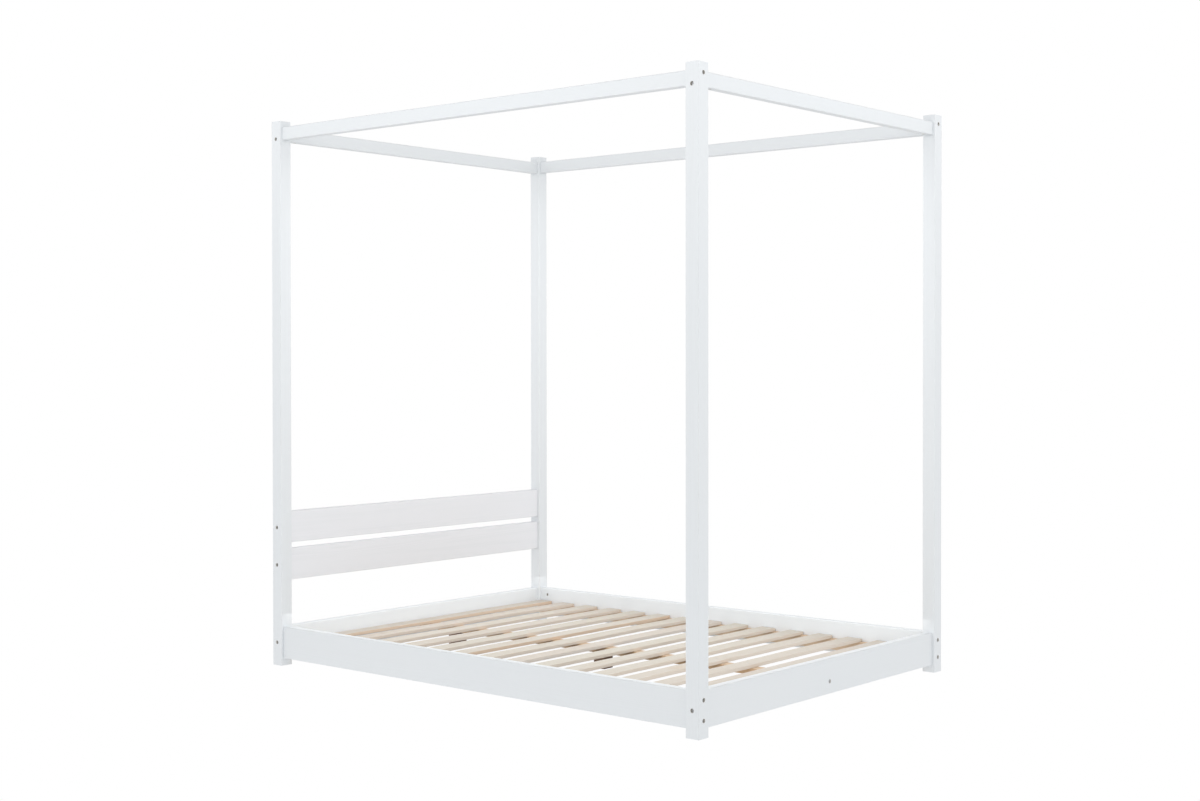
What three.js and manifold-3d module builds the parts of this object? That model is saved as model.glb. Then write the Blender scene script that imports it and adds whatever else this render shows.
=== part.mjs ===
// A white painted pine four poster bed that knocks down for moving.
// Four posts stand on the floor and carry everything. Bed rails, headboard rails and top beams are
// bolted between them with furniture bolts and barrel nuts, and slats lie on two ledgers and a
// centre support on short legs. Millimetres, +Z up, +Y towards the head, +X to the right seen from
// the foot. The origin is on the floor, at the middle of the bed.

import * as THREE from 'three';
import { mergeVertices } from 'three/addons/utils/BufferGeometryUtils.js';
import Module from 'manifold-3d';

// Mattress space, which sets the plan of the frame
const INNER_WIDTH = 1375;
const INNER_LENGTH = 1910;

// Timber sections
const POST = 50;
const POST_HEIGHT = 2015;
const BOARD = 30;
const BOARD_HEIGHT = 117;
const BEAM_HEIGHT = 47;
const ARRIS = 3;

// Heights of the undersides above the floor
const BED_RAIL_BASE = 26.5;
const HEADBOARD_LOWER_BASE = 314;
const HEADBOARD_UPPER_BASE = 453;
const SIDE_BEAM_BASE = 1946;
const END_BEAM_BASE = 1943;

// Slats and what they lie on
const DECK = 79;
const SLAT = { count: 15, width: 64, thickness: 12, endGap: 2.5 };
const LEDGER = { thickness: 20, height: 40 };
const SUPPORT = { width: 45, height: 22 };
const LEG = { side: 50, spacing: 760 };

// Furniture bolts with a round head sunk in the timber, and their barrel nuts
const BOLT = { diameter: 6, head: 11, headThickness: 4, pastNut: 10 };
const BOLT_HOLE = 7.5;
const RECESS = { diameter: 12.6, depth: 10, supportDepth: 6 };
const NUT = { diameter: 10, length: 12, hole: 11.6, fromEnd: 38 };
const SIDE_RAIL_BOLT_SPACING = 62;
const SIDE_BEAM_BOLT_BELOW_TOP = 10;
const END_BEAM_BOLT_ABOVE_BASE = 6.5;

// Hardwood locating pins, glued into the ends of the members that have one bolt
const PIN = { diameter: 8, length: 18, hole: 9.4, bottomGap: 1 };
const BOARD_PIN_OFFSET = 35;
const BEAM_PIN_OFFSET = 25;

// Gap between pieces that touch, and how far a cutting tool runs past a face
const GAP = 0.3;
const OVERRUN = 1;
const FINE_SIDES = 10;
const COARSE_SIDES = 8;

const WIDTH = INNER_WIDTH + POST + BOARD;
const LENGTH = INNER_LENGTH + POST + BOARD;
const POST_X = (WIDTH - POST) / 2;
const POST_Y = (LENGTH - POST) / 2;

const X = new THREE.Vector3(1, 0, 0);
const Y = new THREE.Vector3(0, 1, 0);
const Z = new THREE.Vector3(0, 0, 1);

const manifold = await Module();
manifold.setup();

const paint = { color: 0xe9ebee, roughness: 0.45, metalness: 0 };
const pine = { color: 0xd9c7a8, roughness: 0.7, metalness: 0 };
const zincSteel = { color: 0x8c8f92, roughness: 0.4, metalness: 0.9 };

// ---- Solids ----

function solidFrom(geometry) {
  geometry.deleteAttribute('normal');
  geometry.deleteAttribute('uv');
  const merged = mergeVertices(geometry, 1e-4);
  return new manifold.Manifold(new manifold.Mesh({
    numProp: 3,
    vertProperties: new Float32Array(merged.attributes.position.array),
    triVerts: new Uint32Array(merged.index.array),
  }));
}

function geometryFrom(solid) {
  const mesh = solid.getMesh();
  const geometry = new THREE.BufferGeometry();
  geometry.setAttribute('position', new THREE.BufferAttribute(mesh.vertProperties, 3));
  geometry.setIndex(new THREE.BufferAttribute(mesh.triVerts, 1));
  geometry.computeVertexNormals();
  return geometry;
}

// A round rod that starts at a point and runs along a direction.
function rod(diameter, start, direction, length, sides = COARSE_SIDES) {
  const geometry = new THREE.CylinderGeometry(diameter / 2, diameter / 2, length, sides);
  geometry.applyQuaternion(new THREE.Quaternion().setFromUnitVectors(Y, direction));
  const middle = start.clone().addScaledVector(direction, length / 2);
  return solidFrom(geometry.translate(middle.x, middle.y, middle.z));
}

// A length of planed timber with eased long edges, centred on its own middle.
function timber(axis, length, across, height, arris) {
  const w = across / 2;
  const h = height / 2;
  const section = new THREE.Shape();
  section.moveTo(-w + arris, -h);
  section.lineTo(w - arris, -h);
  section.absarc(w - arris, -h + arris, arris, -Math.PI / 2, 0);
  section.lineTo(w, h - arris);
  section.absarc(w - arris, h - arris, arris, 0, Math.PI / 2);
  section.lineTo(-w + arris, h);
  section.absarc(-w + arris, h - arris, arris, Math.PI / 2, Math.PI);
  section.lineTo(-w, -h + arris);
  section.absarc(-w + arris, -h + arris, arris, Math.PI, 1.5 * Math.PI);
  const geometry = new THREE.ExtrudeGeometry(section, { depth: length, bevelEnabled: false, curveSegments: 2 });
  geometry.translate(0, 0, -length / 2);
  if (axis === X) {
    geometry.applyMatrix4(new THREE.Matrix4().makeBasis(Y, Z, X));
  }
  if (axis === Y) {
    geometry.applyMatrix4(new THREE.Matrix4().makeBasis(X.clone().negate(), Z, Y));
  }
  return geometry;
}

// ---- Bolted joints ----
// A bolt starts at the outer face of what it passes through and runs along its direction. Its barrel
// nut lies across it, and is put in through a face of the member that it pulls tight.

function boltedJoint({ name, start, direction, passes, recessDepth, nutAxis, nutFaceDistance }) {
  const seat = start.clone().addScaledVector(direction, recessDepth - GAP);
  const nutPoint = start.clone().addScaledVector(direction, passes + NUT.fromEnd);
  const nutStart = nutPoint.clone().addScaledVector(nutAxis, -NUT.length / 2);
  const nutHoleStart = nutPoint.clone().addScaledVector(nutAxis, -nutFaceDistance - OVERRUN);
  const outside = start.clone().addScaledVector(direction, -OVERRUN);
  const reach = passes + NUT.fromEnd + BOLT.pastNut;
  return {
    name,
    bolt: () => rod(BOLT.diameter, seat, direction, reach - recessDepth)
      .add(rod(BOLT.head, seat, direction.clone().negate(), BOLT.headThickness, FINE_SIDES))
      .add(rod(NUT.diameter, nutStart, nutAxis, NUT.length)),
    boltHole: () => rod(BOLT_HOLE, outside, direction, reach + 2 * OVERRUN),
    recess: () => rod(RECESS.diameter, outside, direction, recessDepth + OVERRUN, FINE_SIDES),
    nutHole: () => rod(
      NUT.hole, nutHoleStart, nutAxis, nutFaceDistance + NUT.length / 2 + OVERRUN + GAP),
  };
}

const posts = new Map();
for (const [end, ySign] of [['foot', -1], ['head', 1]]) {
  for (const [side, xSign] of [['left', -1], ['right', 1]]) {
    posts.set(`${end}_${side}`, {
      name: `post_${end}_${side}`,
      centre: new THREE.Vector3(xSign * POST_X, ySign * POST_Y, 0),
      joints: [],
      pinHoles: [],
    });
  }
}

function pointAt(along, axis, across, height) {
  return axis === X ? new THREE.Vector3(along, across, height) : new THREE.Vector3(across, along, height);
}

function postAt(axis, endSign, acrossSign) {
  const [xSign, ySign] = axis === X ? [endSign, acrossSign] : [acrossSign, endSign];
  return posts.get(`${ySign < 0 ? 'foot' : 'head'}_${xSign < 0 ? 'left' : 'right'}`);
}

const END_NAMES = new Map([[X, { '-1': 'left', 1: 'right' }], [Y, { '-1': 'foot', 1: 'head' }]]);

// A member runs between two posts along X or Y. Bolts and pins are given by their heights.
function member({ name, axis, acrossSign, base, height, bolts, pins = [], nutAxis, nutFaceDistance }) {
  const postSpan = axis === X ? POST_X : POST_Y;
  const across = acrossSign * (axis === X ? POST_Y : POST_X);
  const length = 2 * (postSpan - POST / 2 - GAP);
  const body = timber(axis, length, BOARD, height, ARRIS);
  const middle = pointAt(0, axis, across, base + height / 2);
  let solid = solidFrom(body.translate(middle.x, middle.y, middle.z));
  const joints = [];
  for (const endSign of [-1, 1]) {
    const post = postAt(axis, endSign, acrossSign);
    const inward = axis.clone().multiplyScalar(-endSign);
    const outward = inward.clone().negate();
    for (const bolt of bolts) {
      const joint = boltedJoint({
        name: ['bolt', name, END_NAMES.get(axis)[endSign], bolt.label].filter(Boolean).join('_'),
        start: pointAt(endSign * (postSpan + POST / 2), axis, across, bolt.height),
        direction: inward,
        passes: POST,
        recessDepth: RECESS.depth,
        nutAxis,
        nutFaceDistance,
      });
      solid = solid.subtract(joint.boltHole()).subtract(joint.nutHole());
      post.joints.push(joint);
      joints.push(joint);
    }
    for (const pinHeight of pins) {
      const boardEnd = pointAt(endSign * length / 2, axis, across, pinHeight);
      const rooted = boardEnd.clone().addScaledVector(inward, PIN.length);
      solid = solid.add(rod(PIN.diameter, rooted, outward, 2 * PIN.length));
      post.pinHoles.push(() => rod(
        PIN.hole, boardEnd, outward, PIN.length + GAP + PIN.bottomGap));
    }
  }
  return { name, solid, joints };
}

const bedRailMiddle = BED_RAIL_BASE + BOARD_HEIGHT / 2;
const sideRailBolts = [
  { label: 'lower', height: bedRailMiddle - SIDE_RAIL_BOLT_SPACING / 2 },
  { label: 'upper', height: bedRailMiddle + SIDE_RAIL_BOLT_SPACING / 2 },
];

function bedRail(name, axis, acrossSign, bolts, pins) {
  const nutAxis = (axis === X ? Y : X).clone().multiplyScalar(acrossSign);
  return member({
    name, axis, acrossSign, bolts, pins, nutAxis,
    base: BED_RAIL_BASE, height: BOARD_HEIGHT, nutFaceDistance: BOARD / 2,
  });
}

function endRail(name, acrossSign) {
  const pins = [bedRailMiddle - BOARD_PIN_OFFSET, bedRailMiddle + BOARD_PIN_OFFSET];
  return bedRail(name, X, acrossSign, [{ height: bedRailMiddle }], pins);
}

function headboardRail(name, base) {
  const middle = base + BOARD_HEIGHT / 2;
  return member({
    name, base, axis: X, acrossSign: 1, height: BOARD_HEIGHT,
    bolts: [{ height: middle }],
    pins: [middle - BOARD_PIN_OFFSET, middle + BOARD_PIN_OFFSET],
    nutAxis: Y.clone().negate(), nutFaceDistance: BOARD / 2,
  });
}

function sideBeam(name, acrossSign) {
  const bolt = SIDE_BEAM_BASE + BEAM_HEIGHT - SIDE_BEAM_BOLT_BELOW_TOP;
  return member({
    name, acrossSign, axis: Y, base: SIDE_BEAM_BASE, height: BEAM_HEIGHT,
    bolts: [{ height: bolt }], pins: [bolt - BEAM_PIN_OFFSET],
    nutAxis: Z.clone().negate(), nutFaceDistance: SIDE_BEAM_BOLT_BELOW_TOP,
  });
}

function endBeam(name, acrossSign) {
  const bolt = END_BEAM_BASE + END_BEAM_BOLT_ABOVE_BASE;
  return member({
    name, acrossSign, axis: X, base: END_BEAM_BASE, height: BEAM_HEIGHT,
    bolts: [{ height: bolt }], pins: [bolt + BEAM_PIN_OFFSET],
    nutAxis: Z.clone(), nutFaceDistance: END_BEAM_BOLT_ABOVE_BASE,
  });
}

const members = [
  sideBeam('top_beam_left', -1),
  sideBeam('top_beam_right', 1),
  endBeam('top_beam_foot', -1),
  endBeam('top_beam_head', 1),
  bedRail('side_rail_left', Y, -1, sideRailBolts),
  bedRail('side_rail_right', Y, 1, sideRailBolts),
  endRail('foot_rail', -1),
  endRail('head_rail', 1),
  headboardRail('headboard_rail_lower', HEADBOARD_LOWER_BASE),
  headboardRail('headboard_rail_upper', HEADBOARD_UPPER_BASE),
];

// ---- Centre support, bolted through the middle of the foot and head rails ----
// Its two bolts are small parts that are left out here: only their holes are made.

function centreSupport() {
  const length = INNER_LENGTH - 2 * GAP;
  const height = DECK - SUPPORT.height / 2;
  const body = timber(Y, length, SUPPORT.width, SUPPORT.height, ARRIS / 2);
  let solid = solidFrom(body.translate(0, 0, height));
  for (const [end, endSign] of [['foot', -1], ['head', 1]]) {
    const joint = boltedJoint({
      name: `bolt_centre_support_${end}`,
      start: new THREE.Vector3(0, endSign * (INNER_LENGTH / 2 + BOARD), height),
      direction: Y.clone().multiplyScalar(-endSign),
      passes: BOARD,
      recessDepth: RECESS.supportDepth,
      nutAxis: Z,
      nutFaceDistance: SUPPORT.height / 2,
    });
    solid = solid.subtract(joint.boltHole()).subtract(joint.nutHole());
    const rail = members.find((item) => item.name === `${end}_rail`);
    rail.solid = rail.solid.subtract(joint.boltHole()).subtract(joint.recess());
  }
  return { name: 'centre_support', solid };
}

function postSolid(post) {
  const body = timber(Z, POST_HEIGHT, POST, POST, ARRIS);
  let solid = solidFrom(body.translate(post.centre.x, post.centre.y, POST_HEIGHT / 2));
  for (const joint of post.joints) {
    solid = solid.subtract(joint.boltHole()).subtract(joint.recess());
  }
  for (const pinHole of post.pinHoles) {
    solid = solid.subtract(pinHole());
  }
  return solid;
}

// ---- The bed ----

const bed = new THREE.Group();

function place(name, geometry, look, position = new THREE.Vector3()) {
  const mesh = new THREE.Mesh(geometry, new THREE.MeshStandardMaterial(look));
  mesh.name = name;
  mesh.position.copy(position);
  bed.add(mesh);
}

function placeLedgers() {
  const length = 2 * (POST_Y - POST / 2 - GAP);
  const x = INNER_WIDTH / 2 - GAP - LEDGER.thickness / 2;
  for (const [side, xSign] of [['left', -1], ['right', 1]]) {
    place(`slat_ledger_${side}`, timber(Y, length, LEDGER.thickness, LEDGER.height, ARRIS / 2),
      pine, new THREE.Vector3(xSign * x, 0, DECK - LEDGER.height / 2));
  }
}

function placeSlats() {
  const length = INNER_WIDTH - 2 * SLAT.endGap;
  const run = 2 * (POST_Y - POST / 2 - GAP) - SLAT.width;
  const height = DECK + GAP + SLAT.thickness / 2;
  for (let i = 0; i < SLAT.count; i += 1) {
    const y = run * (i / (SLAT.count - 1) - 0.5);
    const name = `slat_${String(i + 1).padStart(2, '0')}`;
    place(name, timber(X, length, SLAT.width, SLAT.thickness, ARRIS / 2),
      pine, new THREE.Vector3(0, y, height));
  }
}

// Square blocks that stand on the floor under the centre support.
function placeLegs() {
  const height = DECK - SUPPORT.height - GAP;
  for (const [where, step] of [['foot', -1], ['middle', 0], ['head', 1]]) {
    place(`centre_leg_${where}`, timber(Z, height, LEG.side, LEG.side, ARRIS / 2),
      pine, new THREE.Vector3(0, step * LEG.spacing, height / 2));
  }
}

const support = centreSupport();
for (const post of posts.values()) {
  place(post.name, geometryFrom(postSolid(post)), paint);
}
for (const item of members) {
  place(item.name, geometryFrom(item.solid), paint);
}
place(support.name, geometryFrom(support.solid), pine);
placeLedgers();
placeLegs();
placeSlats();
for (const item of members) {
  for (const joint of item.joints) {
    place(joint.name, geometryFrom(joint.bolt()), zincSteel);
  }
}

export default bed;
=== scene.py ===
"""A white painted pine four poster bed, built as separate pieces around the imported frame.

Lengths are metres in the frame's axes: +Z up, +Y towards the head, +X to the right seen from the foot.
Every timber is modelled in its own space with X along the grain, which its material follows.
"""
import math
import random

import bmesh
import bpy
from mathutils import Matrix, Vector


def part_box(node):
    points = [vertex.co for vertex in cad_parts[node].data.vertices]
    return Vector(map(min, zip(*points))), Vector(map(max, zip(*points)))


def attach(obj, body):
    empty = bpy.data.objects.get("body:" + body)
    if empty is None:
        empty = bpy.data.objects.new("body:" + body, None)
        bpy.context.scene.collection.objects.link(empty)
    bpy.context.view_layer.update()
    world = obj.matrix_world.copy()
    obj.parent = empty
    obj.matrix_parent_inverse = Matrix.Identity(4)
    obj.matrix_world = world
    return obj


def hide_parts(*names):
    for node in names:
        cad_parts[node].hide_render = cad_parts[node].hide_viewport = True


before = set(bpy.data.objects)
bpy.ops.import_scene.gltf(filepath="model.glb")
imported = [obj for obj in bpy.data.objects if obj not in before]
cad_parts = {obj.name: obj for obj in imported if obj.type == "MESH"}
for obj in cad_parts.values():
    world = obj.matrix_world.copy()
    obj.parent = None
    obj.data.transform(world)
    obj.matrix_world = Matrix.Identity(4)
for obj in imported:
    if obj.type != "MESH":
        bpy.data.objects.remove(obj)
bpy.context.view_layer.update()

SEED = 41
luck = random.Random(SEED)

# Timber. An arris is the radius of a long edge, and END_EASE is the smaller rounding of a sawn end.
# Stations are the lengths that a warped timber is divided into.
POST_ARRIS = 0.003
BOARD_ARRIS = 0.003
SLAT_ARRIS = 0.0014
ARRIS_STEPS = 5
ARRIS_FADE = 1.4
END_EASE = 0.0005
PIN_LENGTH = 0.018
SLAT_STATIONS = 12
LEDGER_STATIONS = 8

# Where a timber's pith may lie, from its middle: across it, and below it or as far above it. Along the
# timber it only shifts the pattern of knots and streaks.
PITH_ALONG = 40
PITH_ACROSS = 0.045
PITH_BELOW = (-0.075, -0.022)

# The most that a slat strays from a straight one, and how amber the sides of slats and support are
SLAT_CROOK = 0.0018
SLAT_SKEW = 0.0015
SLAT_LIFT = 0.0016
SLAT_TWIST = 0.012
SLAT_AMBER = 0.16
AMBER_SLATS = {10: 0.42, 15: 0.40}
SUPPORT_AMBER = 0.4

# Furniture bolts, and the holes that they sit in
BOLT_RADIUS = 0.003
BOLT_CHAMFER = 0.0010
HEAD_RADIUS = 0.0055
HEAD_THICKNESS = 0.004
HEAD_ROUNDING = 0.0006
HEAD_EDGE = 0.0003
SOCKET_DEPTH = 0.0024
SOCKET_FLOOR_RADIUS = 0.0017
SOCKET_RADIUS = 0.0018
SOCKET_MOUTH_RADIUS = 0.0021
SOCKET_MOUTH_DEPTH = 0.0002
BOLT_HOLE_RADIUS = 0.00375
BOLT_PAST_NUT = 0.010
RECESS_RADIUS = 0.0063
RECESS_DEPTH = 0.010
SUPPORT_RECESS_DEPTH = 0.006
CLEARANCE = 0.0003
RIM = 0.0007
RIM_STEPS = 3
OVERRUN = 0.002
TOUCHING = 0.001

# Barrel nuts
NUT_RADIUS = 0.005
NUT_LENGTH = 0.012
NUT_EDGE = 0.0005
NUT_SLOT_DEPTH = 0.0014
NUT_THREAD_GAP = 0.0002
NUT_HOLE_RADIUS = 0.0053
NUT_FROM_END = 0.038

# Wood screws, and the holes that they sit in
SCREW_RADIUS = 0.0038
SCREW_CORE = 0.0017
SCREW_EDGE = 0.0003
SCREW_NECK = 0.0026
SCREW_CROSS_RADIUS = 0.0022
SCREW_CROSS_FLOOR_RADIUS = 0.0006
SCREW_CROSS_DEPTH = 0.0016
THREAD_START = 0.0060
THREAD_PITCH = 0.0016
THREAD_CREST = 0.4
THREAD_SWELL = 1.25
SCREW_POINT = 0.004
SCREW_TIP_RADIUS = 0.0003
SCREW_LENGTH = 0.025
SCREW_STRAY = 0.006
SCREW_SUNK = 0.0002
SCREW_HOLE_RADIUS = 0.0021
COUNTERSINK_GAP = 0.0003
COUNTERSINK_DEPTH = 0.0030
SLAT_SCREW_HOLE_DEPTH = 0.020
LEG_SCREW_LENGTH = 0.050
LEG_SCREW_OFFSET = 0.012
LEDGER_SCREWS = 7
LEDGER_SCREW_REACH = 0.88
LEDGER_SCREW_SUNK = 0.0001

LEG_PLACES = ("foot", "middle", "head")

# Mesh detail
SEGMENTS = 24
SHARP_ANGLE = math.radians(35)

DOWN = Vector((0, 0, -1))
AXES = {"X": Vector((1, 0, 0)), "Y": Vector((0, 1, 0)), "Z": Vector((0, 0, 1))}
GRAIN_ORDER = {"X": (0, 1, 2), "Y": (1, 0, 2), "Z": (2, 1, 0)}
GRAIN_TURN = {
    "X": Matrix.Identity(4),
    "Y": Matrix.Rotation(math.radians(90), 4, "Z"),
    "Z": Matrix.Rotation(math.radians(-90), 4, "Y"),
}


# ---- Node trees ----

def node(tree, kind, inputs=None, **settings):
    """Adds a shader node; inputs are values, or sockets to link from."""
    made = tree.nodes.new("ShaderNode" + kind)
    for key, value in settings.items():
        setattr(made, key, value)
    for key, value in (inputs or {}).items():
        if isinstance(value, bpy.types.NodeSocket):
            tree.links.new(value, made.inputs[key])
        else:
            made.inputs[key].default_value = value
    return made


def maths(tree, operation, *values):
    return node(tree, "Math", dict(enumerate(values)), operation=operation).outputs[0]


def vector_maths(tree, operation, *values):
    return node(tree, "VectorMath", dict(enumerate(values)), operation=operation).outputs["Vector"]


def attribute(tree, name, output="Fac"):
    return node(tree, "Attribute", attribute_name=name).outputs[output]


def mix(tree, factor, first, second):
    inputs = {0: factor, 6: first, 7: second}
    return node(tree, "Mix", inputs, data_type="RGBA").outputs[2]


def ramp(tree, value, start, end, low=0.0, high=1.0):
    inputs = {0: value, 1: start, 2: end, 3: low, 4: high}
    return node(tree, "MapRange", inputs, interpolation_type="SMOOTHSTEP").outputs[0]


def noise(tree, coordinates, stretch, detail=2.0, roughness=0.5):
    """Noise between 0 and 1; stretch is how many features fit in a metre along each axis."""
    scaled = vector_maths(tree, "MULTIPLY", coordinates, stretch)
    inputs = {"Vector": scaled, "Scale": 1.0, "Detail": detail, "Roughness": roughness}
    return node(tree, "TexNoise", inputs).outputs["Fac"]


def layered(tree, tone, layers):
    """Lays colours over a base tone in turn; each layer is (mask, share of it, colour)."""
    for mask, share, colour in layers:
        tone = mix(tree, maths(tree, "MULTIPLY", mask, share), tone, colour)
    return tone


def sum_of(tree, total, *others):
    """Adds masks to a value; each of the others is (mask, share of it)."""
    for mask, share in others:
        total = maths(tree, "MULTIPLY_ADD", mask, share, total)
    return total


def bump(tree, height, distance, strength=1.0, normal=None):
    inputs = {"Height": height, "Distance": distance, "Strength": strength}
    if normal is not None:
        inputs["Normal"] = normal
    return node(tree, "Bump", inputs).outputs[0]


def new_material(name):
    material = bpy.data.materials.new(name)
    material.use_nodes = True
    material.node_tree.nodes.clear()
    return material, material.node_tree


def finish_surface(tree, inputs):
    shader = node(tree, "BsdfPrincipled", inputs)
    node(tree, "OutputMaterial", {"Surface": shader.outputs[0]})


# ---- Wood ----

RING_SPACING = 0.0036
RING_WANDER = 0.024
RING_WANDER_STRETCH = (1.1, 5, 5)

# The shares of a ring's width between which its late wood deepens, and between which it fades out
LATE_WOOD = (0.35, 0.86)
LATE_WOOD_END = (1.0, 0.9)

# Knots lie in stretched cells, and KNOT_CHOICE leaves them out of almost half of the cells
KNOT_CELLS = (3.2, 5.5, 0.0)
KNOT_CHOICE = (0.42, 0.5)
KNOT_RAGGEDNESS = 0.03
KNOT_RAGGED_STRETCH = (60, 60, 10)
KNOT_EDGE = (0.075, 0.045)
HALO_EDGE = (0.26, 0.03)
KNOT_SWEEP = 0.009

# Noises in the wood: stretch, detail and roughness
WOOD_NOISES = {
    "fibre": ((14, 620, 620), 3.0, 0.6),
    "streak": ((2.2, 70, 70), 3.0, 0.5),
    "cloud": ((1.6, 9, 9), 2.0, 0.5),
}


def wood_field(tree):
    """The solid grain of a softwood board: year rings about its pith, knots, fibres and streaks."""
    place = node(tree, "TexCoord").outputs["Object"]
    wood = vector_maths(tree, "SUBTRACT", place, attribute(tree, "pith", "Vector"))

    cells = vector_maths(tree, "MULTIPLY", wood, KNOT_CELLS)
    knots = node(tree, "TexVoronoi", {"Vector": cells, "Scale": 1.0})
    cell_value = node(tree, "SeparateColor", {0: knots.outputs["Color"]}).outputs[0]
    chosen = ramp(tree, cell_value, *KNOT_CHOICE)
    rough_edge = noise(tree, wood, KNOT_RAGGED_STRETCH)
    ragged = maths(tree, "MULTIPLY_ADD", rough_edge, KNOT_RAGGEDNESS, knots.outputs["Distance"])
    knot = maths(tree, "MULTIPLY", ramp(tree, ragged, *KNOT_EDGE), chosen)
    halo = maths(tree, "MULTIPLY", ramp(tree, ragged, *HALO_EDGE), chosen)

    across = vector_maths(tree, "MULTIPLY", wood, (0.0, 1.0, 1.0))
    radius = node(tree, "VectorMath", {0: across}, operation="LENGTH").outputs["Value"]
    wander = noise(tree, wood, RING_WANDER_STRETCH, detail=3.0)
    swept = sum_of(tree, radius, (wander, RING_WANDER), (halo, KNOT_SWEEP))
    phase = maths(tree, "FRACT", maths(tree, "DIVIDE", swept, RING_SPACING))
    late = maths(tree, "MULTIPLY", ramp(tree, phase, *LATE_WOOD), ramp(tree, phase, *LATE_WOOD_END))

    field = {name: noise(tree, wood, *settings) for name, settings in WOOD_NOISES.items()}
    field.update(wood=wood, late=late, knot=knot, halo=halo)
    return field


# ---- Materials ----

PAINT_SHADE = (0.780, 0.812, 0.838, 1)
PAINT_LIGHT = (0.798, 0.824, 0.844, 1)
# A lighter white for the headboard's boards: painted light
HEADBOARD_PAINTED_LIGHT = (0.850, 0.858, 0.888, 1)
PAINT_OVER_RINGS = (0.752, 0.776, 0.790, 1)
PAINT_OVER_STREAKS = (0.762, 0.790, 0.808, 1)
PAINT_OVER_KNOTS = (0.72, 0.69, 0.60, 1)
PAINT_RUBBED = (0.82, 0.825, 0.81, 1)
PAINT_FILM_STRETCH = (260, 260, 260)
PAINT_IOR = 1.47
PAINT_ROUGHNESS = 0.38
PAINT_GRAIN_RELIEF = 0.00010
PAINT_FILM_RELIEF = 0.00006
PAINT_WAVE_RELIEF = 0.0008


def paint_material():
    """White satin paint on planed pine: the grain shows only as faint relief and tone.

    One attribute takes the headboard's boards to a lighter white, which is painted light, and arris marks
    the rubbed edges.
    """
    material, tree = new_material("white_paint")
    field = wood_field(tree)
    late, knot, streak, cloud = (field[name] for name in ("late", "knot", "streak", "cloud"))
    film = noise(tree, field["wood"], PAINT_FILM_STRETCH)
    rubbed = maths(tree, "MULTIPLY", attribute(tree, "arris"), ramp(tree, streak, 0.4, 0.65))
    tone = layered(tree, mix(tree, cloud, PAINT_SHADE, PAINT_LIGHT), (
        # Painted light: the headboard's boards are mixed to a lighter white
        (attribute(tree, "amber_and_painted_light"), 1.0, HEADBOARD_PAINTED_LIGHT),
        (late, 0.20, PAINT_OVER_RINGS),
        (ramp(tree, streak, 0.45, 0.75), 0.22, PAINT_OVER_STREAKS),
        (knot, 0.14, PAINT_OVER_KNOTS),
        (rubbed, 0.35, PAINT_RUBBED),
    ))
    gloss = maths(tree, "MULTIPLY_ADD", film, 0.10, PAINT_ROUGHNESS)
    gloss = sum_of(tree, gloss, (cloud, 0.08))
    relief = sum_of(tree, field["fibre"], (late, 0.30), (knot, 0.8))
    normal = bump(tree, relief, PAINT_GRAIN_RELIEF)
    normal = bump(tree, film, PAINT_FILM_RELIEF, normal=normal)
    normal = bump(tree, cloud, PAINT_WAVE_RELIEF, 0.5, normal)
    finish_surface(tree, {
        "Base Color": tone,
        "Roughness": gloss,
        "IOR": PAINT_IOR,
        "Normal": normal,
    })
    return material


PINE_FIBRE = (0.42, 0.28, 0.16, 1)
PINE_BLEACHED = (0.70, 0.685, 0.62, 1)
PINE_HALO = (0.56, 0.36, 0.19, 1)
PINE_KNOT = (0.24, 0.115, 0.05, 1)
PINE_AMBER_EDGE = (0.66, 0.38, 0.16, 1)
PINE_IOR = 1.45
PINE_FACE_EDGE = (0.5, 0.9)
PINE_ROUGHNESS = 0.68
PINE_RELIEF = 0.00022
KNOT_RELIEF = 0.0004
PINKER = (1.0, 0.94, 0.97)


def pine_material(name, pale, amber, painted_side_shading):
    """Bare planed pine. Its narrow sides and its ends lean to another tone by the way they face: painted
    light on the slats, where that tone is paler, and painted shade on the legs, where it is darker.

    The attribute pink takes the pale wood to a pinker one, and tint makes the narrow sides amber.
    """
    material, tree = new_material(name)
    field = wood_field(tree)
    fibre, late, streak, knot = (field[name] for name in ("fibre", "late", "streak", "knot"))
    facing = node(tree, "SeparateXYZ", {0: node(tree, "TexCoord").outputs["Normal"]})
    side = ramp(tree, maths(tree, "ABSOLUTE", facing.outputs["Y"]), *PINE_FACE_EDGE)
    end = ramp(tree, maths(tree, "ABSOLUTE", facing.outputs["X"]), *PINE_FACE_EDGE)
    pinker = tuple(part * share for part, share in zip(pale, PINKER)) + (1,)
    tone = layered(tree, mix(tree, attribute(tree, "pink"), pale, pinker), (
        (late, 0.62, amber),
        (ramp(tree, streak, 0.42, 0.78), 0.30, amber),
        (ramp(tree, fibre, 0.35, 0.8), 0.16, PINE_FIBRE),
        (field["cloud"], 0.25, PINE_BLEACHED),
        (field["halo"], 0.30, PINE_HALO),
        (knot, 0.85, PINE_KNOT),
        # Narrow sides and ends toned by their facing: painted light on the slats, painted shade on the legs
        (maths(tree, "MAXIMUM", side, end), 0.4, painted_side_shading),
        (side, attribute(tree, "amber_and_painted_light"), PINE_AMBER_EDGE),
    ))
    gloss = maths(tree, "MULTIPLY_ADD", late, -0.10, PINE_ROUGHNESS)
    gloss = sum_of(tree, gloss, (fibre, 0.12))
    normal = bump(tree, sum_of(tree, fibre, (late, 0.6)), PINE_RELIEF)
    normal = bump(tree, knot, KNOT_RELIEF, normal=normal)
    finish_surface(tree, {
        "Base Color": tone,
        "Roughness": gloss,
        "IOR": PINE_IOR,
        "Normal": normal,
    })
    return material


DRILLED_DARK = (0.50, 0.48, 0.44, 1)
DRILLED_LIGHT = (0.70, 0.685, 0.65, 1)
DRILLED_STRETCH = (900, 900, 900)
DRILLED_ROUGHNESS = 0.85
DRILLED_RELIEF = 0.0003


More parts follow.
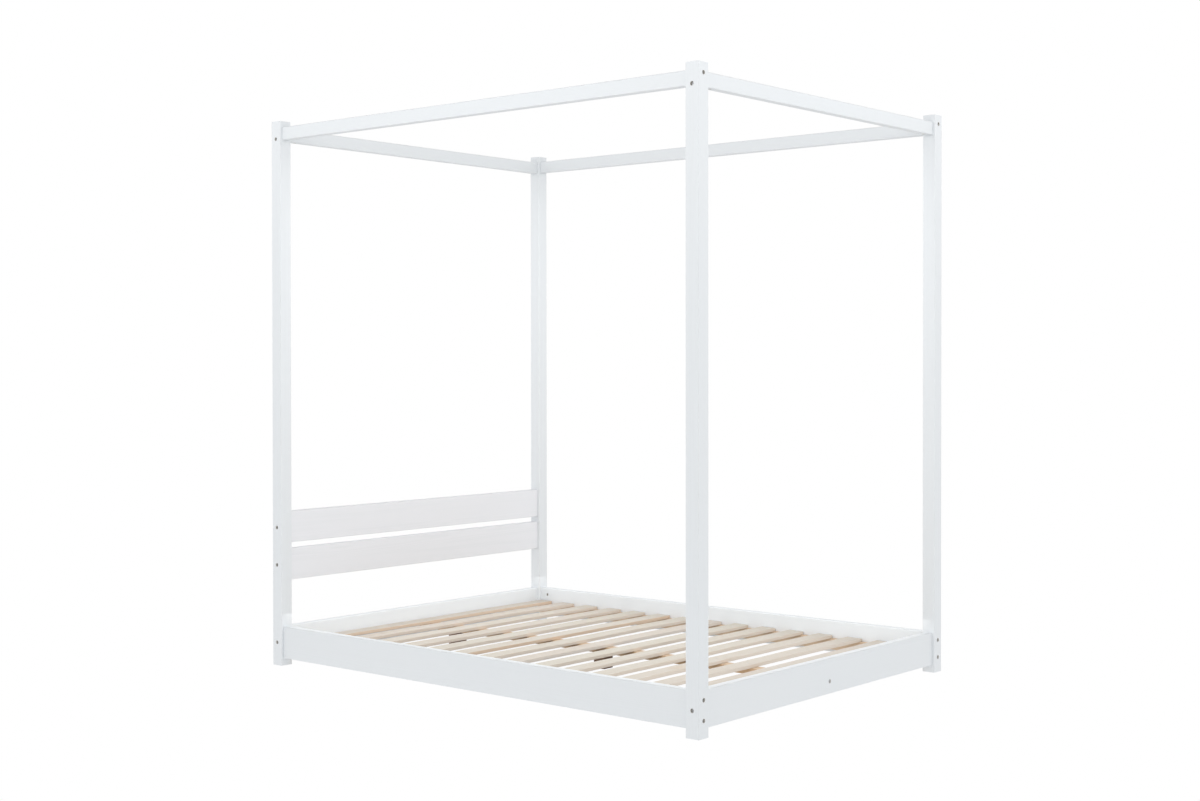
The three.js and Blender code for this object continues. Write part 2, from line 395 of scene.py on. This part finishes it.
def drilled_material():
    """The raw inside of a drilled hole."""
    material, tree = new_material("drilled_wood")
    place = node(tree, "TexCoord").outputs["Object"]
    fuzz = noise(tree, place, DRILLED_STRETCH, detail=3.0)
    finish_surface(tree, {
        "Base Color": mix(tree, fuzz, DRILLED_DARK, DRILLED_LIGHT),
        "Roughness": DRILLED_ROUGHNESS,
        "Normal": bump(tree, fuzz, DRILLED_RELIEF),
    })
    return material


STEEL_CLOUD_STRETCH = (500, 500, 500)
STEEL_SCRATCH_STRETCH = (2600, 2600, 400)
STEEL_RELIEF = 0.00003


def steel_material(name, dark, light, roughness):
    """Zinc plated steel with the cloudy finish of barrel plating."""
    material, tree = new_material(name)
    place = node(tree, "TexCoord").outputs["Object"]
    cloud = noise(tree, place, STEEL_CLOUD_STRETCH, detail=3.0)
    scratch = noise(tree, place, STEEL_SCRATCH_STRETCH)
    finish_surface(tree, {
        "Base Color": mix(tree, cloud, dark, light),
        "Metallic": 1.0,
        "Roughness": maths(tree, "MULTIPLY_ADD", scratch, 0.22, roughness),
        "Normal": bump(tree, scratch, STEEL_RELIEF),
    })
    return material


PAINT = paint_material()
# The slats' paler narrow sides and ends are painted light
SLAT_PINE = pine_material(
    "slat_pine", pale=(0.635, 0.610, 0.540, 1), amber=(0.555, 0.475, 0.370, 1), painted_side_shading=(0.84, 0.78, 0.72, 1))
FRAME_PINE = pine_material(
    "frame_pine", pale=(0.67, 0.49, 0.33, 1), amber=(0.52, 0.33, 0.18, 1), painted_side_shading=(0.66, 0.50, 0.35, 1))
# Dark tones for the centre legs: painted shade from under the bed, darker still on their sides and ends
LEG_PINE_PAINTED_SHADE = pine_material(
    "leg_pine_painted_shade", pale=(0.21, 0.092, 0.036, 1), amber=(0.155, 0.062, 0.024, 1), painted_side_shading=(0.115, 0.046, 0.02, 1))
DRILLED = drilled_material()
BOLT_STEEL = steel_material(
    "bolt_steel", dark=(0.50, 0.51, 0.53, 1), light=(0.64, 0.65, 0.67, 1), roughness=0.34)
NUT_STEEL = steel_material(
    "nut_steel", dark=(0.66, 0.64, 0.57, 1), light=(0.78, 0.76, 0.69, 1), roughness=0.40)


# ---- Mesh building ----

CROSS_ARM_WIDTH = 0.6
CROSS_WAIST = 0.45
SLOT_HALF_WIDTH = 0.2
EASE_MIDDLE = 0.3


def round_outline(angle):
    return 1.0


def hexagon_outline(angle):
    sixth = math.pi / 3
    return math.cos(sixth / 2) / math.cos((angle + sixth / 2) % sixth - sixth / 2)


def cross_outline(angle):
    return 1.0 if abs(math.sin(2 * angle)) < CROSS_ARM_WIDTH else CROSS_WAIST


def slot_outline(angle):
    return min(1.0, SLOT_HALF_WIDTH / max(abs(math.sin(angle)), 1e-6))


# An outline gives the share of a loop's radius that it reaches at an angle
OUTLINES = {
    "round": round_outline,
    "hex": hexagon_outline,
    "cross": cross_outline,
    "slot": slot_outline,
}


def bridge(bm, rings):
    """Joins rings of vertices into a closed solid, with a face at each end."""
    count = len(rings[0])
    for low, high in zip(rings, rings[1:]):
        for i in range(count):
            j = (i + 1) % count
            bm.faces.new((low[i], low[j], high[j], high[i]))
    bm.faces.new(reversed(rings[0]))
    bm.faces.new(rings[-1])


def add_turned(bm, loops, place):
    """Adds a closed solid to bm from loops of (distance along, radius, outline), placed by a matrix."""
    rings = []
    for along, radius, outline in loops:
        ring = []
        for i in range(SEGMENTS):
            angle = 2 * math.pi * i / SEGMENTS
            reach = radius * OUTLINES[outline](angle)
            point = Vector((reach * math.cos(angle), reach * math.sin(angle), along))
            ring.append(bm.verts.new(place @ point))
        rings.append(ring)
    bridge(bm, rings)


def along_direction(start, direction):
    """A matrix that takes +Z to a direction and the origin to a start point."""
    turn = Vector(direction).to_track_quat("Z", "Y").to_matrix().to_4x4()
    return Matrix.Translation(Vector(start)) @ turn


def random_spin():
    return Matrix.Rotation(luck.uniform(0, math.pi), 4, "Z")


def mesh_from(bm, name):
    bmesh.ops.recalc_face_normals(bm, faces=bm.faces)
    mesh = bpy.data.meshes.new(name)
    bm.to_mesh(mesh)
    bm.free()
    return mesh


def smooth(mesh):
    mesh.shade_smooth()
    mesh.set_sharp_from_angle(angle=SHARP_ANGLE)


def turned_mesh(name, loops, material):
    bm = bmesh.new()
    add_turned(bm, loops, Matrix.Identity(4))
    mesh = mesh_from(bm, name)
    mesh.materials.append(material)
    smooth(mesh)
    return mesh


def add_piece(name, mesh, place, stands_for=()):
    piece = bpy.data.objects.new(name, mesh)
    bpy.context.scene.collection.objects.link(piece)
    piece.matrix_world = place
    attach(piece, "root")
    if stands_for:
        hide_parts(*stands_for)
    normals = piece.modifiers.new("even_normals", "WEIGHTED_NORMAL")
    normals.keep_sharp = True


def section(width, height, arris):
    """Outline of a planed timber as (y, z) points, anticlockwise."""
    points = []
    for corner in range(4):
        y = (width / 2 - arris) * (1 if corner in (0, 3) else -1)
        z = (height / 2 - arris) * (1 if corner in (0, 1) else -1)
        for step in range(ARRIS_STEPS + 1):
            angle = (corner + step / ARRIS_STEPS) * math.pi / 2
            points.append((y + arris * math.cos(angle), z + arris * math.sin(angle)))
    return points


def timber_mesh(name, length, width, height, arris, stations, warp):
    """A planed timber along X. warp moves a point of the straight timber to where it really lies."""
    half = length / 2
    eased = EASE_MIDDLE * END_EASE
    rounding = [(0.0, END_EASE), (eased, eased), (END_EASE, 0.0)]
    rows = [(-half + along, inset) for along, inset in rounding]
    rows += [(length * (i / stations - 0.5), 0.0) for i in range(1, stations)]
    rows += [(half - along, inset) for along, inset in reversed(rounding)]
    bm = bmesh.new()
    rings = []
    for x, inset in rows:
        outline = section(width - 2 * inset, height - 2 * inset, arris)
        rings.append([bm.verts.new(warp(Vector((x, y, z)))) for y, z in outline])
    bridge(bm, rings)
    return mesh_from(bm, name)


def cut(mesh, place, cutters):
    """Cuts turned holes out of a mesh, and returns a new mesh in its place.

    cutters are (loops, start, direction) in the frame's axes.
    """
    bm = bmesh.new()
    for loops, start, direction in cutters:
        add_turned(bm, loops, along_direction(start, direction))
    tool_mesh = mesh_from(bm, "tool")
    tool_mesh.materials.append(DRILLED)
    tool = bpy.data.objects.new("tool", tool_mesh)
    work = bpy.data.objects.new("work", mesh)
    work.matrix_world = place
    for item in (tool, work):
        bpy.context.scene.collection.objects.link(item)
    boolean = work.modifiers.new("holes", "BOOLEAN")
    boolean.object = tool
    boolean.operation = "DIFFERENCE"
    boolean.solver = "EXACT"
    boolean.material_mode = "TRANSFER"
    bpy.context.view_layer.update()
    evaluated = work.evaluated_get(bpy.context.evaluated_depsgraph_get())
    result = bpy.data.meshes.new_from_object(evaluated)
    for item in (tool, work):
        bpy.data.objects.remove(item)
    for used in (tool_mesh, mesh):
        bpy.data.meshes.remove(used)
    return result


def recess_loops(radius, depth, hole_radius, hole_depth):
    """A counterbore with a softened mouth, and a narrower hole on from its floor."""
    loops = [(-OVERRUN, radius + RIM, "round")]
    for step in range(RIM_STEPS + 1):
        angle = step / RIM_STEPS * math.pi / 2
        loops.append((RIM * (1 - math.cos(angle)), radius + RIM * (1 - math.sin(angle)), "round"))
    loops += [(depth, radius, "round"), (depth, hole_radius, "round"), (hole_depth, hole_radius, "round")]
    return loops


def hole_loops(radius, depth):
    """A blind hole with a softened mouth."""
    return [
        (-OVERRUN, radius + RIM / 2, "round"),
        (0.0, radius + RIM / 2, "round"),
        (RIM / 4, radius + RIM / 8, "round"),
        (RIM, radius, "round"),
        (depth, radius, "round"),
    ]


def add_attribute(mesh, name, kind, field, values):
    made = mesh.attributes.new(name, kind, "POINT")
    made.data.foreach_set(field, values)


def wood_attributes(mesh, width, height, arris, amber_and_painted_light, pink):
    """Stores what the wood materials read: where the pith lies, the board's tones and its rounded edges."""
    count = len(mesh.vertices)
    along = luck.uniform(-PITH_ALONG, PITH_ALONG)
    across = luck.uniform(-PITH_ACROSS, PITH_ACROSS)
    pith = Vector((along, across, luck.uniform(*PITH_BELOW)))
    if luck.random() < 0.5:
        pith.z = -pith.z
    add_attribute(mesh, "pith", "FLOAT_VECTOR", "vector", list(pith) * count)
    add_attribute(mesh, "amber_and_painted_light", "FLOAT", "value", [amber_and_painted_light] * count)
    add_attribute(mesh, "pink", "FLOAT", "value", [pink] * count)
    rounded = []
    for vertex in mesh.vertices:
        inside_y = width / 2 - abs(vertex.co.y)
        inside_z = height / 2 - abs(vertex.co.z)
        near = max(inside_y, inside_z) / arris
        rounded.append(min(1.0, max(0.0, ARRIS_FADE - ARRIS_FADE * near)))
    add_attribute(mesh, "arris", "FLOAT", "value", rounded)


def straight(point):
    return point


def timber(node_name, axis, material, arris=BOARD_ARRIS, pins=False, cutters=(), crossing=(),
           stations=1, warp=straight, amber_and_painted_light=0.0, pink=0.0):
    """A detailed timber in place of a CAD node, without the pins at its ends if it has them.

    cutters and crossing are holes that meet inside it, so they are cut one after the other.
    """
    low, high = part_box(node_name)
    middle = (low + high) / 2
    size = high - low
    if pins:
        size -= 2 * PIN_LENGTH * AXES[axis]
    length, width, height = (size[i] for i in GRAIN_ORDER[axis])
    place = Matrix.Translation(middle) @ GRAIN_TURN[axis]
    name = node_name + "_timber"
    mesh = timber_mesh(name, length, width, height, arris, stations, warp)
    mesh.materials.append(material)
    for group in (cutters, crossing):
        if group:
            mesh = cut(mesh, place, group)
    mesh.name = name
    wood_attributes(mesh, width, height, arris, amber_and_painted_light, pink)
    smooth(mesh)
    add_piece(name, mesh, place, [node_name])


def frame_size(node_name, axis):
    low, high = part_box(node_name)
    return high[axis] - low[axis]


# ---- Bolted joints ----

class Joint:
    """One furniture bolt: where it starts, which way it runs, and how its barrel nut is put in.

    passes is the thickness of the timber under its head, before it enters the member that holds the nut.
    """

    def __init__(self, name, start, direction, passes, recess_depth, nut_side, nut_face_distance):
        self.name = name
        self.start = Vector(start)
        self.direction = Vector(direction)
        self.passes = passes
        self.recess_depth = recess_depth
        self.nut_side = Vector(nut_side)
        self.nut_face_distance = nut_face_distance

    def recess(self):
        loops = recess_loops(RECESS_RADIUS, self.recess_depth, BOLT_HOLE_RADIUS, self.passes + OVERRUN)
        return loops, self.start, self.direction

    def bolt_hole(self):
        depth = NUT_FROM_END + BOLT_PAST_NUT + OVERRUN
        loops = [(-OVERRUN, BOLT_HOLE_RADIUS, "round"), (depth, BOLT_HOLE_RADIUS, "round")]
        return loops, self.start + self.passes * self.direction, self.direction

    def nut_point(self):
        return self.start + (self.passes + NUT_FROM_END) * self.direction

    def nut_hole(self):
        depth = self.nut_face_distance + NUT_LENGTH / 2 + CLEARANCE
        mouth = self.nut_point() + self.nut_face_distance * self.nut_side
        return hole_loops(NUT_HOLE_RADIUS, depth), mouth, -self.nut_side


def joint_from_node(node_name, nut_side, nut_face_distance, post):
    """Reads a bolt's place from its CAD node: it runs inwards along the node's longest side."""
    low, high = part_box(node_name)
    start = (low + high) / 2
    size = high - low
    axis = max(range(3), key=lambda i: size[i])
    outward = 1 if start[axis] > 0 else -1
    direction = Vector((0, 0, 0))
    direction[axis] = -outward
    post_low, post_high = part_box(post)
    start[axis] = post_high[axis] if outward > 0 else post_low[axis]
    passes = (post_high - post_low)[axis]
    return Joint(node_name, start, direction, passes, RECESS_DEPTH, nut_side, nut_face_distance)


def member_joints(member, nut_side, nut_face_distance, ends, labels=("",)):
    """The joints of one rail or beam; ends are (end, post), with one bolt per label at each of them."""
    joints = []
    for end, post in ends:
        for label in labels:
            name = f"bolt_{member}_{end}{label}"
            joints.append(joint_from_node(name, nut_side, nut_face_distance, post))
    return joints


def bolt_mesh(length):
    """A round headed bolt with a hexagon socket, from its head's top at the origin along +Z."""
    return turned_mesh("bolt", [
        (SOCKET_DEPTH, SOCKET_FLOOR_RADIUS, "hex"),
        (SOCKET_MOUTH_DEPTH, SOCKET_RADIUS, "hex"),
        (0.0, SOCKET_MOUTH_RADIUS, "hex"),
        (0.0, HEAD_RADIUS - 1.6 * HEAD_ROUNDING, "round"),
        (0.25 * HEAD_ROUNDING, HEAD_RADIUS - 0.5 * HEAD_ROUNDING, "round"),
        (HEAD_ROUNDING, HEAD_RADIUS, "round"),
        (HEAD_THICKNESS - HEAD_EDGE, HEAD_RADIUS, "round"),
        (HEAD_THICKNESS, HEAD_RADIUS - HEAD_EDGE, "round"),
        (HEAD_THICKNESS, BOLT_RADIUS + HEAD_EDGE, "round"),
        (HEAD_THICKNESS + HEAD_EDGE, BOLT_RADIUS, "round"),
        (length - BOLT_CHAMFER, BOLT_RADIUS, "round"),
        (length, BOLT_RADIUS - BOLT_CHAMFER, "round"),
    ], BOLT_STEEL)


def nut_mesh():
    """A barrel nut with a slotted end towards +Z and a cross hole for the bolt along X."""
    half = NUT_LENGTH / 2
    slot_radius = NUT_RADIUS - 2 * NUT_EDGE
    body = turned_mesh("nut", [
        (-half, NUT_RADIUS - NUT_EDGE, "round"),
        (-half + NUT_EDGE, NUT_RADIUS, "round"),
        (half - NUT_EDGE, NUT_RADIUS, "round"),
        (half, NUT_RADIUS - NUT_EDGE, "round"),
        (half, slot_radius, "slot"),
        (half - NUT_SLOT_DEPTH, slot_radius, "slot"),
    ], NUT_STEEL)
    thread = BOLT_RADIUS + NUT_THREAD_GAP
    loops = [(0.0, thread, "round"), (4 * NUT_RADIUS, thread, "round")]
    mesh = cut(body, Matrix.Identity(4), [(loops, (-2 * NUT_RADIUS, 0, 0), AXES["X"])])
    mesh.name = "nut"
    smooth(mesh)
    return mesh


def screw_mesh(name, length):
    """A countersunk wood screw, from the top of its head at the origin along +Z."""
    loops = [
        (SCREW_CROSS_DEPTH, SCREW_CROSS_FLOOR_RADIUS, "cross"),
        (0.0, SCREW_CROSS_RADIUS, "cross"),
        (0.0, SCREW_RADIUS - SCREW_EDGE, "round"),
        (SCREW_EDGE, SCREW_RADIUS, "round"),
        (SCREW_NECK, SCREW_CORE, "round"),
    ]
    along = THREAD_START
    while along + THREAD_PITCH < length - SCREW_POINT:
        crest = along + THREAD_CREST * THREAD_PITCH
        loops += [(along, SCREW_CORE, "round"), (crest, THREAD_SWELL * SCREW_CORE, "round")]
        along += THREAD_PITCH
    loops += [(length - SCREW_POINT, SCREW_CORE, "round"), (length, SCREW_TIP_RADIUS, "round")]
    return turned_mesh(name, loops, BOLT_STEEL)


def screw_hole(point, depth):
    """A countersink with a narrower hole on from it, straight down, as a cutter."""
    mouth = SCREW_RADIUS + COUNTERSINK_GAP
    loops = [
        (-OVERRUN, mouth, "round"),
        (SCREW_EDGE, mouth, "round"),
        (COUNTERSINK_DEPTH, SCREW_HOLE_RADIUS, "round"),
        (depth, SCREW_HOLE_RADIUS, "round"),
    ]
    return loops, point, DOWN


def place_joint(joint, bolt, nut, stands_for=()):
    head_top = joint.start + (joint.recess_depth - CLEARANCE - HEAD_THICKNESS) * joint.direction
    turn = along_direction(head_top, joint.direction) @ random_spin()
    add_piece(joint.name + "_body", bolt, turn, stands_for)
    side = joint.nut_side.cross(joint.direction)
    place = Matrix((joint.direction, side, joint.nut_side)).transposed().to_4x4()
    place.translation = joint.nut_point()
    add_piece(joint.name + "_nut", nut, place, stands_for)


def screw_group(name, screw, places):
    """Several screws as one piece; each place is (point, direction)."""
    bm = bmesh.new()
    for point, direction in places:
        before = len(bm.verts)
        bm.from_mesh(screw)
        bm.verts.ensure_lookup_table()
        turn = along_direction(point, direction) @ random_spin()
        bmesh.ops.transform(bm, matrix=turn, verts=bm.verts[before:])
    mesh = mesh_from(bm, name)
    mesh.materials.append(BOLT_STEEL)
    smooth(mesh)
    add_piece(name, mesh, Matrix.Identity(4))


# ---- The bed ----

def build_joints():
    """The joints of each rail and beam, by the member's name."""
    board = frame_size("side_rail_left", 0)
    beam_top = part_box("top_beam_left")[1].z
    beam_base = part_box("top_beam_foot")[0].z
    side_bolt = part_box("bolt_top_beam_left_foot")
    side_distance = beam_top - (side_bolt[0].z + side_bolt[1].z) / 2
    end_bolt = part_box("bolt_top_beam_foot_left")
    end_distance = (end_bolt[0].z + end_bolt[1].z) / 2 - beam_base
    joints = {}
    for side, sign in (("left", -1), ("right", 1)):
        ends = [(end, f"post_{end}_{side}") for end in ("foot", "head")]
        rail = f"side_rail_{side}"
        beam = f"top_beam_{side}"
        joints[rail] = member_joints(rail, (-sign, 0, 0), board / 2, ends, ("_lower", "_upper"))
        joints[beam] = member_joints(beam, (0, 0, 1), side_distance, ends)
    for end, sign in (("foot", -1), ("head", 1)):
        ends = [(side, f"post_{end}_{side}") for side in ("left", "right")]
        rail = f"{end}_rail"
        beam = f"top_beam_{end}"
        joints[rail] = member_joints(rail, (0, -sign, 0), board / 2, ends)
        joints[beam] = member_joints(beam, (0, 0, -1), end_distance, ends)
    ends = [(side, f"post_head_{side}") for side in ("left", "right")]
    for level in ("lower", "upper"):
        rail = f"headboard_rail_{level}"
        joints[rail] = member_joints(rail, (0, 1, 0), board / 2, ends)
    return joints


def support_joints():
    """The two bolts that hold the centre support to the foot and head rails, by the rail's name."""
    low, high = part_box("centre_support")
    height = (low.z + high.z) / 2
    joints = {}
    for end, sign in (("foot", -1), ("head", 1)):
        rail_low, rail_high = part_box(f"{end}_rail")
        outer = rail_high.y if sign > 0 else rail_low.y
        joints[f"{end}_rail"] = Joint(
            f"bolt_centre_support_{end}", (0, outer, height), (0, -sign, 0), rail_high.y - rail_low.y,
            SUPPORT_RECESS_DEPTH, (0, 0, -1), (high.z - low.z) / 2)
    return joints


def leg_screw_points():
    """Where two screws go through the centre support into each of its legs."""
    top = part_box("centre_support")[1].z
    points = []
    for where in LEG_PLACES:
        low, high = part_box(f"centre_leg_{where}")
        middle = (low + high) / 2
        for offset in (-LEG_SCREW_OFFSET, LEG_SCREW_OFFSET):
            points.append(Vector((middle.x + offset, middle.y + offset, top - SCREW_SUNK)))
    return points


def in_post(joint, post):
    """Whether a joint's bolt is sunk in a post."""
    low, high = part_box(post)
    return all(low[i] - TOUCHING <= joint.start[i] <= high[i] + TOUCHING for i in range(2))


def build_frame():
    joints = build_joints()
    support = support_joints()
    bolt = bolt_mesh(frame_size("bolt_foot_rail_left", 0))
    nut = nut_mesh()
    for end in ("foot", "head"):
        for side in ("left", "right"):
            post = f"post_{end}_{side}"
            recesses = [j.recess() for group in joints.values() for j in group if in_post(j, post)]
            timber(post, "Z", PAINT, arris=POST_ARRIS, cutters=recesses)
    for member, own in joints.items():
        axis = "Y" if member.endswith(("_left", "_right")) else "X"
        cutters = [j.nut_hole() for j in own]
        if member in support:
            cutters.append(support[member].recess())
        # The headboard's boards get the lighter white, a painted light
        timber(member, axis, PAINT, pins=not member.startswith("side_rail"),
               cutters=cutters, crossing=[j.bolt_hole() for j in own],
               amber_and_painted_light=1.0 if member.startswith("headboard") else 0.0)
        for joint in own:
            place_joint(joint, bolt, nut, [joint.name])
    build_support(support, nut)


def build_support(joints, nut):
    """The centre support with the holes of its bolts and of its legs' screws, and its two bolts."""
    screw_depth = frame_size("centre_support", 2) + OVERRUN
    cutters = [j.nut_hole() for j in joints.values()]
    cutters += [screw_hole(point, screw_depth) for point in leg_screw_points()]
    timber("centre_support", "Y", FRAME_PINE, arris=SLAT_ARRIS, amber_and_painted_light=SUPPORT_AMBER,
           cutters=cutters, crossing=[j.bolt_hole() for j in joints.values()])
    reach = joints["foot_rail"].passes + NUT_FROM_END + BOLT_PAST_NUT
    bolt = bolt_mesh(reach - SUPPORT_RECESS_DEPTH + HEAD_THICKNESS)
    for joint in joints.values():
        place_joint(joint, bolt, nut)


def slat_warp(length, crook, skew, lift, twist):
    """Real slats aren't quite straight: they curve, sit askew, twist, and rise between their supports."""
    def warp(point):
        share = 2 * point.x / length
        y = point.y + crook * (1 - share * share) + skew * share
        z = point.z + lift * math.sin(math.pi * share) ** 2 + twist * point.y * share * share
        return Vector((point.x, y, z))
    return warp


def build_slats(screw):
    count = sum(1 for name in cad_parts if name.removeprefix("slat_").isdigit())
    length = frame_size("slat_01", 0)
    ledger_low, ledger_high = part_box("slat_ledger_right")
    ledger_x = (ledger_low.x + ledger_high.x) / 2
    for number in range(1, count + 1):
        name = f"slat_{number:02d}"
        low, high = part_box(name)
        middle_y = (low.y + high.y) / 2
        crook = luck.uniform(-SLAT_CROOK, SLAT_CROOK)
        skew = luck.uniform(-SLAT_SKEW, SLAT_SKEW)
        lift = luck.uniform(0, SLAT_LIFT)
        twist = luck.uniform(0.0, SLAT_TWIST)
        sinks = []
        for x in (-ledger_x, 0.0, ledger_x):
            y = middle_y + luck.uniform(-SCREW_STRAY, SCREW_STRAY)
            sinks.append(Vector((x, y, high.z - SCREW_SUNK)))
        amber_and_painted_light = AMBER_SLATS.get(number, luck.uniform(0.0, SLAT_AMBER))
        timber(name, "X", SLAT_PINE, arris=SLAT_ARRIS, stations=SLAT_STATIONS,
               warp=slat_warp(length, crook, skew, lift, twist),
               cutters=[screw_hole(point, SLAT_SCREW_HOLE_DEPTH) for point in sinks],
               amber_and_painted_light=amber_and_painted_light, pink=luck.random())
        screw_group(f"{name}_screws", screw, [(point, DOWN) for point in sinks])


def build_ledgers(screw):
    for side, sign in (("left", -1), ("right", 1)):
        name = f"slat_ledger_{side}"
        timber(name, "Y", FRAME_PINE, arris=SLAT_ARRIS, stations=LEDGER_STATIONS,
               pink=luck.random())
        low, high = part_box(name)
        inner = low.x if sign > 0 else high.x
        places = []
        for step in range(LEDGER_SCREWS):
            y = (2 * step / (LEDGER_SCREWS - 1) - 1) * LEDGER_SCREW_REACH
            point = Vector((inner + sign * LEDGER_SCREW_SUNK, y, (low.z + high.z) / 2))
            places.append((point, Vector((sign, 0, 0))))
        screw_group(f"{name}_screws", screw, places)


def build_legs():
    for where in LEG_PLACES:
        # The legs take the dark pine, a painted shade
        timber(f"centre_leg_{where}", "Z", LEG_PINE_PAINTED_SHADE, arris=SLAT_ARRIS, pink=luck.random())
    screw = screw_mesh("leg_screw", LEG_SCREW_LENGTH)
    screw_group("centre_leg_screws", screw, [(point, DOWN) for point in leg_screw_points()])


# ---- Camera, floor and light ----

SENSOR_WIDTH = 36
FOCAL_LENGTH = 50.32
LENS_SHIFT = (-0.02932, -0.01648)
CAMERA_PLACE = (-4.6803, -4.0062, 1.1208)
CAMERA_DEGREES = (90 - 0.6097, 0.0419, -50.535)

FLOOR_REACH = 60
FLOOR_GREY = (0.25, 0.25, 0.25, 1)
FLOOR_GLOW = 0.7
FLOOR_SHADE = 0.62

# The shade under the bed: its middle, and the distances from there where it begins and where it is full
SHADE_MIDDLE_Y = 0.12
SHADE_X = (0.70, 0.45)
SHADE_Y = (0.90, 0.45)

# The surroundings dim from one glow to the other between these heights of a direction
WALL_FADE = (0.25, 0.75)
WALL_GLOW = (1.38, 0.32)

# Area lights: name, place, what it faces, width, height and power in watts
SOFTBOXES = (
    ("left_box", (-2.0, 0.0, 2.5), (-0.7, 0.0, 1.9), 2.8, 0.8, 5.7),
    ("front_box", (0.0, -2.3, 2.5), (0.0, -1.0, 1.9), 2.2, 0.8, 4.9),
    ("canopy_box", (0.0, 0.0, 1.9), (0.0, 0.0, 0.0), 1.1, 1.6, 5.2),
    ("deck_box", (0.0, 0.0, 0.19), (0.0, 0.0, 0.0), 1.42, 1.94, 3.35),
)


def place_camera():
    data = bpy.data.cameras.new("camera")
    data.sensor_width = SENSOR_WIDTH
    data.lens = FOCAL_LENGTH
    data.shift_x, data.shift_y = LENS_SHIFT
    camera = bpy.data.objects.new("camera", data)
    camera.location = CAMERA_PLACE
    camera.rotation_euler = [math.radians(angle) for angle in CAMERA_DEGREES]
    bpy.context.scene.collection.objects.link(camera)
    bpy.context.scene.camera = camera


def floor_material():
    """Plain white to the camera; to all else a grey that glows, but less so under the bed."""
    material, tree = new_material("studio_floor")
    place = node(tree, "SeparateXYZ", {0: node(tree, "TexCoord").outputs["Object"]})
    across = maths(tree, "ABSOLUTE", place.outputs["X"])
    along = maths(tree, "ABSOLUTE", maths(tree, "SUBTRACT", place.outputs["Y"], SHADE_MIDDLE_Y))
    under = maths(tree, "MULTIPLY", ramp(tree, across, *SHADE_X), ramp(tree, along, *SHADE_Y))
    glow = maths(tree, "MULTIPLY_ADD", under, -FLOOR_SHADE, FLOOR_GLOW)
    matt = node(tree, "BsdfDiffuse", {"Color": FLOOR_GREY}).outputs[0]
    glowing = node(tree, "Emission", {"Strength": glow}).outputs[0]
    lit = node(tree, "AddShader", {0: matt, 1: glowing}).outputs[0]
    white = node(tree, "Emission", {"Strength": 1.0}).outputs[0]
    seen = node(tree, "LightPath").outputs["Is Camera Ray"]
    look = node(tree, "MixShader", {0: seen, 1: lit, 2: white})
    node(tree, "OutputMaterial", {"Surface": look.outputs[0]})
    return material


def studio_floor():
    mesh = bpy.data.meshes.new("floor")
    bm = bmesh.new()
    bmesh.ops.create_grid(bm, x_segments=1, y_segments=1, size=FLOOR_REACH)
    bm.to_mesh(mesh)
    bm.free()
    mesh.materials.append(floor_material())
    floor = bpy.data.objects.new("floor", mesh)
    bpy.context.scene.collection.objects.link(floor)


def softbox(name, place, target, width, height, power):
    data = bpy.data.lights.new(name, "AREA")
    data.shape = "RECTANGLE"
    data.size = width
    data.size_y = height
    data.energy = power
    light = bpy.data.objects.new(name, data)
    light.location = place
    light.rotation_euler = (Vector(target) - Vector(place)).to_track_quat("-Z", "Y").to_euler()
    light.visible_camera = False
    bpy.context.scene.collection.objects.link(light)


def studio_light():
    """Surroundings that are white to the camera and dim upwards to all else, and the area lights."""
    world = bpy.data.worlds.new("studio")
    world.use_nodes = True
    tree = world.node_tree
    tree.nodes.clear()
    height = node(tree, "SeparateXYZ", {0: node(tree, "TexCoord").outputs["Generated"]}).outputs["Z"]
    gradient = ramp(tree, height, *WALL_FADE, *WALL_GLOW)
    seen = node(tree, "LightPath").outputs["Is Camera Ray"]
    strength = node(tree, "Mix", {0: seen, 2: gradient, 3: 1.0}, data_type="FLOAT").outputs[0]
    walls = node(tree, "Background", {"Color": (1, 1, 1, 1), "Strength": strength})
    node(tree, "OutputWorld", {"Surface": walls.outputs[0]})
    bpy.context.scene.world = world
    for settings in SOFTBOXES:
        softbox(*settings)
    bpy.context.scene.view_settings.view_transform = "Standard"


place_camera()
studio_floor()
studio_light()
build_frame()
screws = screw_mesh("screw", SCREW_LENGTH)
build_slats(screws)
build_ledgers(screws)
build_legs()
